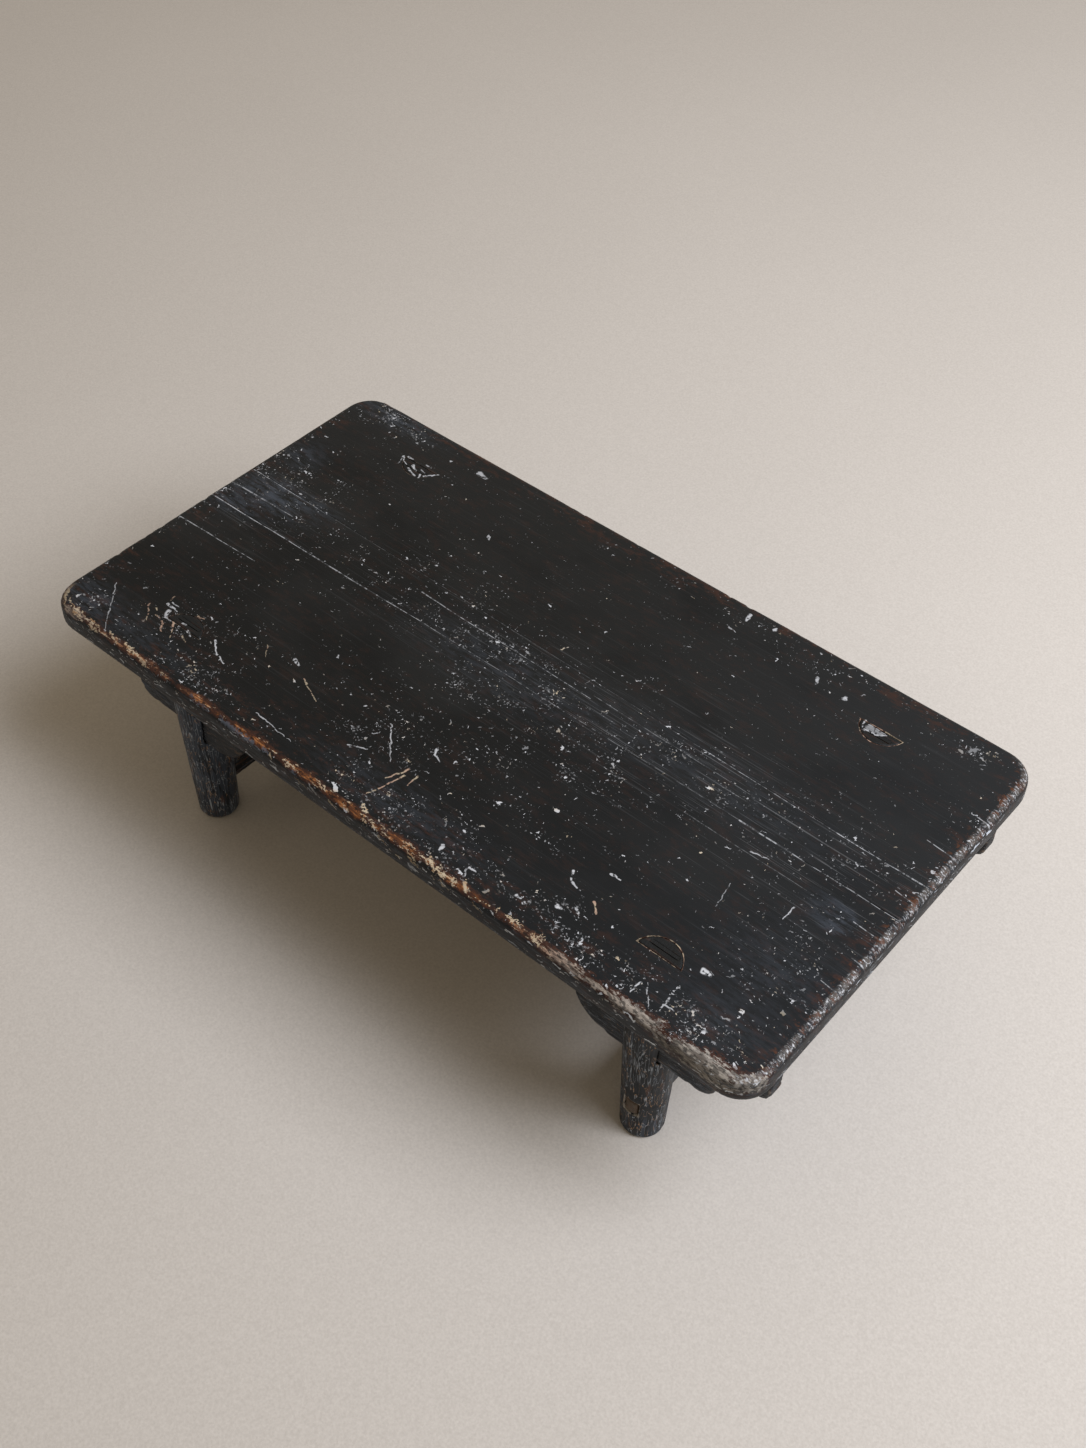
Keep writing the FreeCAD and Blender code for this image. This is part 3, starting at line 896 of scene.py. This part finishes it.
def edge_walls(paint, edge):
    """Pale nicks and a greyish band over the right end's arris, partly real wear and partly a painted
    highlight on the side towards the lamp, and strokes and nicks on the walls below the edge.
    """
    # Painted highlight: only the right end's arris, which faces the lamp, gets the greyish band and the pale
    # nicks; the nicks are also real wear.
    right = paint.span(paint.x, 0.372, 0.390)
    arris = paint.all_of(paint.span(edge, -1.5 * MM, 1.5 * MM), paint.span(edge, 9 * MM, 5 * MM), right)
    patchy = paint.span(paint.noise((30, 9, 30), 4, 8.7, 0.7), 0.42, 0.60)
    paint.cover(paint.all_of(arris, patchy), tan_dark, 0.55)
    nicks = paint.all_of(arris, paint.span(paint.noise((4, 1.8, 2.4), 4, 5.2, 0.7), 0.52, 0.62))
    paint.cover(paint.all_of(nicks, paint.span(patchy, 0.0, 1.0, 0.5, 1.0)), dust_white)
    spots = paint.all_of(paint.span(edge, -9 * MM, -1 * MM), paint.span(edge, 9 * MM, 4 * MM), right)
    spots = paint.all_of(spots, paint.span(paint.noise((8, 6, 8), 4, 3.3, 0.7), 0.55, 0.63))
    paint.cover(spots, dark_orange, 0.75)
    wall = paint.span(edge, 6 * MM, 9 * MM)
    smears = paint.all_of(wall, paint.span(paint.noise((14, 9, 2.6), 4, 2.3), 0.50, 0.68))
    paint.cover(wall, night_black, 0.45)
    paint.cover(smears, blue_grey, 0.25)
    curl = paint.minus(paint.noise(7, 2, 5.5), 0.5)
    curled = paint.plus(paint.z, paint.times(curl, 9 * MM))
    sheet = paint.joined(paint.plus(paint.x, paint.y), curled)
    strokes = paint.flakes(sheet, (15, 6.2), 0.52, 0.30, 0.7, (2.4, 5.4), 4.0, turn=1.0)
    paint.cover(paint.all_of(wall, strokes), wall_grey, 0.9)
    chips = paint.peaks((8, 6, 3.0), 0.0, 0.66, 0.70, 9.1, 3.0)
    chips = paint.all_of(paint.span(edge, 3 * MM, 7 * MM), chips)
    paint.cover(chips, dust_white, 0.75)


def top_material():
    paint = Paint("top_lacquer")
    edge = paint.attribute("edge")
    lacquer(paint, edge)
    chipped = paint.any_of(specks(paint), scratches(paint, edge))
    chipped = paint.any_of(chipped, bare_edge(paint, edge))
    edge_walls(paint, edge)
    old_wood = paint.mix(paint.noise((140, 6, 6), 5, 1.5), deep_black, dark_wood)
    paint.cover(paint.span(paint.facing_up, -0.4, -0.8), old_wood)
    roughness = paint.span(paint.noise((60, 10, 10), 4, 9.9), 0.3, 0.7, 0.46, 0.54)
    roughness = paint.plus(roughness, paint.times(chipped, 0.25))
    height = paint.times(paint.noise((160, 2.0, 2.0), 4, 2.6, 0.65), 0.5)
    height = paint.plus(height, paint.times(paint.noise((6, 4, 4), 4, 3.0), 0.2))
    return paint.finish(roughness, height, 0.5 * MM, 0.22, cool_sheen)


def lengthwise(grain, length, width):
    """Size of a feature that is long along the grain."""
    return tuple(length if axis == grain else width for axis in "xyz")


def tenon_end(paint):
    """Colour of the end of a leg tenon: lacquer like the top's, with the marks that cross the tenons."""
    colour = paint.mix(paint.noise((20, 4, 4), 4, 3.1), deep_black, soft_black)
    brown = paint.span(paint.noise((14, 3, 3), 4, 5.7), 0.54, 0.66)
    colour = paint.mix(paint.times(brown, 0.3), colour, red_brown)
    ragged = paint.warped(7, 4.5, 3.8)
    broken = paint.span(paint.noise(3.2, 3, 8.8), 0.34, 0.50)
    return paint.mix(paint.all_of(paint.strokes(ragged, tenon_marks), broken), colour, dust_white)


def mortise_rim(paint):
    """Broken pale line round the mortises of the right stretcher, on the outside of the right legs."""
    reach = []
    for value, middle, half in ((paint.x, leg_x, end_half[0]), (paint.z, bar_z, end_half[1])):
        away = paint.math("ABSOLUTE", paint.minus(value, middle))
        reach.append(paint.minus(away, half))
    rim = paint.span(paint.any_of(*reach), 2.0 * MM, 1.0 * MM)
    outside = paint.span(paint.math("ABSOLUTE", paint.y), leg_y + 8 * MM, leg_y + 13 * MM)
    return paint.all_of(rim, outside, paint.span(paint.noise(4, 3, 6.1), 0.40, 0.52))


def frame_material(name, grain, lines, painted_fill_share=0.0, end_wood_from=None, shows_tenon=False):
    """Worn lacquer on the legs, aprons and stretchers, with pale and dark cracks along the grain. The left
    legs get painted fill light: they are painted lighter and greyer where they stand in the top's shadow.
    """
    paint = Paint(name)
    cloud = paint.noise(50, 4, 3.7)
    paint.colour = paint.mix(paint.span(cloud, 0.35, 0.65), night_black, worn_black)
    patches = paint.span(paint.noise(30, 3, 1.2), 0.40, 0.62)
    combed = paint.span(paint.noise(lengthwise(grain, 130, 1.9), 4, 2.4, 0.65), 0.46, 0.64)
    paint.cover(paint.all_of(combed, patches), slate, 0.45)
    # Painted fill light: the left legs, which stand in the top's shadow, are painted lighter and greyer.
    paint.cover(paint.span(paint.x, -0.21, -0.25), slate, painted_fill_share)
    brown = paint.span(paint.noise(lengthwise(grain, 30, 7), 5, 6.3), 0.60, 0.68)
    paint.cover(brown, dark_orange, 0.5)
    runs = paint.span(paint.noise(26, 3, 4.8), 0.50, 0.60)
    threads = paint.all_of(paint.threads(lengthwise(grain, 55, 4), 5.1, 0.022), runs)
    paint.cover(threads, thread_grey, lines)
    squiggles = paint.threads(lengthwise(grain, 22, 5), 3.3, 0.014)
    warmth = paint.span(paint.noise(12, 2, 7.4), 0.45, 0.58)
    paint.cover(squiggles, paint.mix(warmth, thread_grey, cream_shade), 0.75 * lines)
    dark_lines = paint.any_of(paint.attribute("crack"), paint.threads(lengthwise(grain, 90, 7), 8.6, 0.02))
    paint.cover(dark_lines, night_black, 0.85)
    chips = paint.any_of(paint.peaks(5, 0.0, 0.69, 0.72, 2.1, 3.0),
                         paint.peaks(lengthwise(grain, 14, 1.7), 0.0, 0.71, 0.75, 7.3))
    paint.cover(chips, thread_grey, lines)
    rim = paint.all_of(paint.span(paint.attribute("arris"), 0.35, 1.0),
                       paint.span(paint.noise(9, 5, 8.4), 0.48, 0.62))
    paint.cover(rim, paint.mix(cloud, pale_wood, pale_grey), 0.5)
    if shows_tenon:
        paint.cover(mortise_rim(paint), pale_grey, 0.6)
        paint.cover(paint.span(paint.z, top_z - 4 * MM, top_z - 2 * MM), tenon_end(paint))
    if end_wood_from:
        end = paint.span(paint.math("ABSOLUTE", paint.y), end_wood_from - 1 * MM, end_wood_from)
        paint.cover(end, paint.mix(paint.noise((3, 3, 9), 4, 4.7), deep_wood, end_brown))
    worn = paint.any_of(rim, chips, threads)
    roughness = paint.span(paint.noise(20, 4, 9.9), 0.3, 0.7, 0.42, 0.6)
    roughness = paint.plus(roughness, paint.times(worn, 0.2))
    strands = paint.noise(lengthwise(grain, 120, 2.2), 4, 5.1, 0.65)
    return paint.finish(roughness, strands, 0.5 * MM, 0.28, cool_sheen)


def wood_material(name, grain, dark, light):
    """Bare wood darkened with age."""
    paint = Paint(name)
    strands = paint.noise(lengthwise(grain, 150, 4), 6, 2.2, 0.65)
    blotches = paint.noise(45, 4, 6.8)
    paint.colour = paint.mix(paint.span(strands, 0.35, 0.68), dark, light)
    paint.cover(paint.span(blotches, 0.45, 0.75, 0.0, 0.6), deep_black)
    roughness = paint.span(blotches, 0.3, 0.7, 0.6, 0.8)
    return paint.finish(roughness, strands, 0.4 * MM)


def floor_material():
    """Pale paper. Far from the table it is seen to run into the wall colour."""
    paint = Paint("floor_paper")
    tooth = paint.noise(2.2, 2, 1.0)
    drift = paint.noise(400, 3, 2.0)
    share = paint.plus(paint.times(tooth, 0.85), paint.times(drift, 0.15))
    paint.colour = paint.mix(share, paper_shade, paper_light)
    material = paint.finish(paint.span(drift, 0.0, 1.0, 0.85, 0.95), tooth, 0.15 * MM)
    far = paint.span(paint.vector("DISTANCE", paint.place, fade_middle), *wall_fade)
    paint.show_wall("Material Output", paint.surface.outputs[0], "ShaderNodeEmission", far)
    return material


# Stage


def make_floor():
    mesh = bpy.data.meshes.new("floor")
    corners = [(x * floor_half, y * floor_half, 0) for x, y in ((-1, -1), (1, -1), (1, 1), (-1, 1))]
    mesh.from_pydata(corners, [], [(0, 1, 2, 3)])
    mesh.materials.append(floor_material())
    floor = linked("floor", mesh)


def make_light():
    """One soft lamp from the right, turned a little away to the back."""
    lamp = bpy.data.lights.new("key", "AREA")
    lamp.shape = "SQUARE"
    lamp.size = lamp_size
    lamp.energy = lamp_energy
    lamp.color = lamp_colour
    key = linked("key", lamp)
    key.location = lamp_place
    key.rotation_euler = (lamp_place - lamp_aim).to_track_quat("Z", "Y").to_euler()


def make_room():
    """Dim warm light from all round. The camera and reflections see the wall colour behind the floor."""
    world = bpy.data.worlds.new("room")
    bpy.context.scene.world = world
    world.use_nodes = True
    room = Nodes(world.node_tree)
    light = room.tree.nodes["Background"]
    room.feed(light.inputs["Color"], room_colour)
    room.feed(light.inputs["Strength"], room_strength)
    room.show_wall("World Output", light.outputs[0], "ShaderNodeBackground")


def make_camera():
    azimuth, elevation, roll = (math.radians(a) for a in (camera_azimuth, camera_elevation, camera_roll))
    back = Vector((math.sin(azimuth) * math.cos(elevation), -math.cos(azimuth) * math.cos(elevation),
                   math.sin(elevation)))
    level = Vector((math.cos(azimuth), math.sin(azimuth), 0))
    upright = back.cross(level)
    right = level * math.cos(roll) + upright * math.sin(roll)
    up = back.cross(right)
    lens = bpy.data.cameras.new("camera")
    lens.sensor_width = long_side
    lens.lens = long_side * focal_pixels / picture_height
    camera = linked("camera", lens)
    turn = Matrix((right, up, back)).transposed().to_4x4()
    camera.matrix_world = Matrix.Translation(camera_target + back * camera_distance) @ turn
    bpy.context.scene.camera = camera


# The table

top_lacquer = top_material()
board("front_plank", "top_front_plank", front_edge, front_seam, top_lacquer)
board("middle_strip", "top_middle_strip", front_seam, back_seam, top_lacquer)
board("back_plank", "top_back_plank", back_seam, back_edge, top_lacquer)

leg_lacquer = frame_material("leg_lacquer", "z", lines=0.95, painted_fill_share=0.3, shows_tenon=True)
apron_lacquer = frame_material("apron_lacquer", "x", lines=0.35)
bar_lacquer = frame_material("stretcher_lacquer", "y", lines=0.35, end_wood_from=leg_y + 18 * MM)
old_wood = wood_material("old_wood", "y", deep_wood, dark_wood)
pin_wood = wood_material("pin_wood", "y", dark_wood, pale_wood)

for depth_name in ("front", "back"):
    apron = "apron_" + depth_name
    weathered(apron + "_board", apron, frame_voxel, "x", apron_lacquer)
    for side_name in ("left", "right"):
        leg = "leg_" + depth_name + "_" + side_name
        weathered(leg + "_post", leg, leg_voxel, "z", leg_lacquer, crisp_height)
for side_name in ("left", "right"):
    bar = "stretcher_" + side_name
    weathered(bar + "_bar", bar, frame_voxel, "y", bar_lacquer)
    batten = "batten_" + side_name
    weathered(batten + "_rail", batten, frame_voxel, "y", old_wood)

for node, material in (("seam_pins", pin_wood), ("tenon_wedges", leg_lacquer)):
    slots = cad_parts[node].data.materials
    slots.clear()
    slots.append(material)

make_floor()
make_light()
make_room()
make_camera()
scene = bpy.context.scene
scene.view_settings.view_transform = "Standard"
